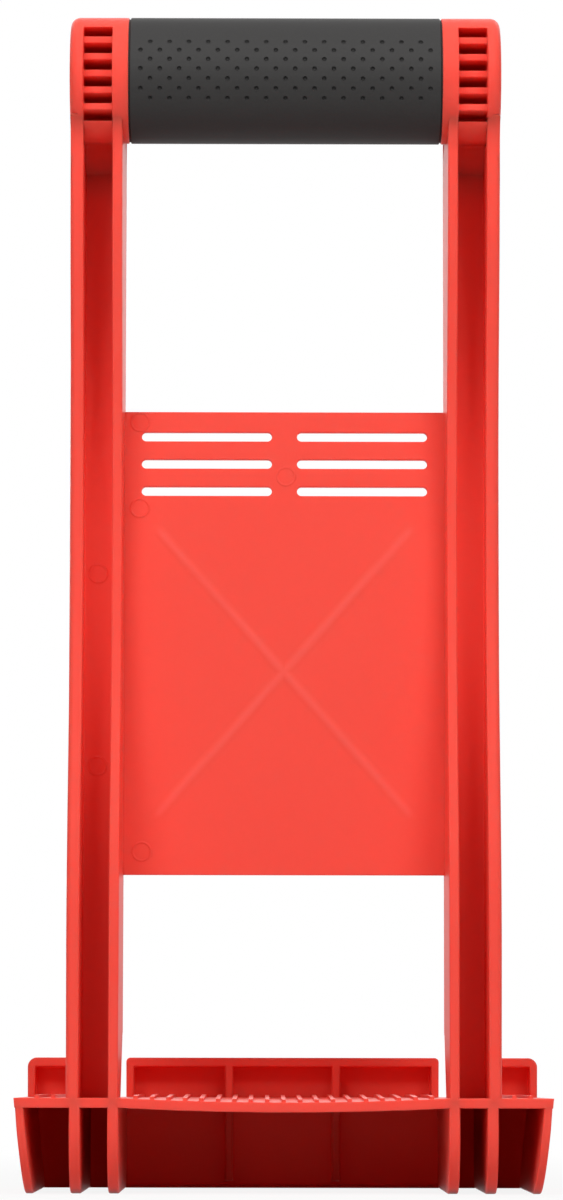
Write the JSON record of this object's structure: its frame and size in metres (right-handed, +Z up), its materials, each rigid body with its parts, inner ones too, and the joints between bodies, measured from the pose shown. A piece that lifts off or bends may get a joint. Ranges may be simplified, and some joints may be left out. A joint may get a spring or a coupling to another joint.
{
  "type": "panel carrier",
  "caption": "Tall moulded hand carrier for boards: channel rails, slotted plate, ribbed shelf with turned-up lip, and a dimpled soft grip between louvred end blocks.",
  "frame": {"origin": "on the base, at the middle of the overall width and depth", "axes": "+Z up from the base to the grip, +Y away from the user towards the panel seat, +X to the user's right"},
  "size_m": [0.164, 0.1124, 0.3636],
  "materials": {
    "frame_plastic": "satin",
    "grip_rubber": "matte"
  },
  "bodies": {
    "root": {"left_rail": "frame_plastic", "right_rail": "frame_plastic", "web_plate": "frame_plastic", "cross_ribs": "frame_plastic", "left_end_block": "frame_plastic", "right_end_block": "frame_plastic", "handle_core": "frame_plastic", "grip": "grip_rubber", "shelf": "frame_plastic", "toe_wall": "frame_plastic", "centre_lip": "frame_plastic", "left_lip": "frame_plastic", "right_lip": "frame_plastic", "left_side_wall": "frame_plastic", "right_side_wall": "frame_plastic", "left_outer_gusset": "frame_plastic", "left_inner_gusset": "frame_plastic", "right_inner_gusset": "frame_plastic", "right_outer_gusset": "frame_plastic"}
  },
  "joints": []
}
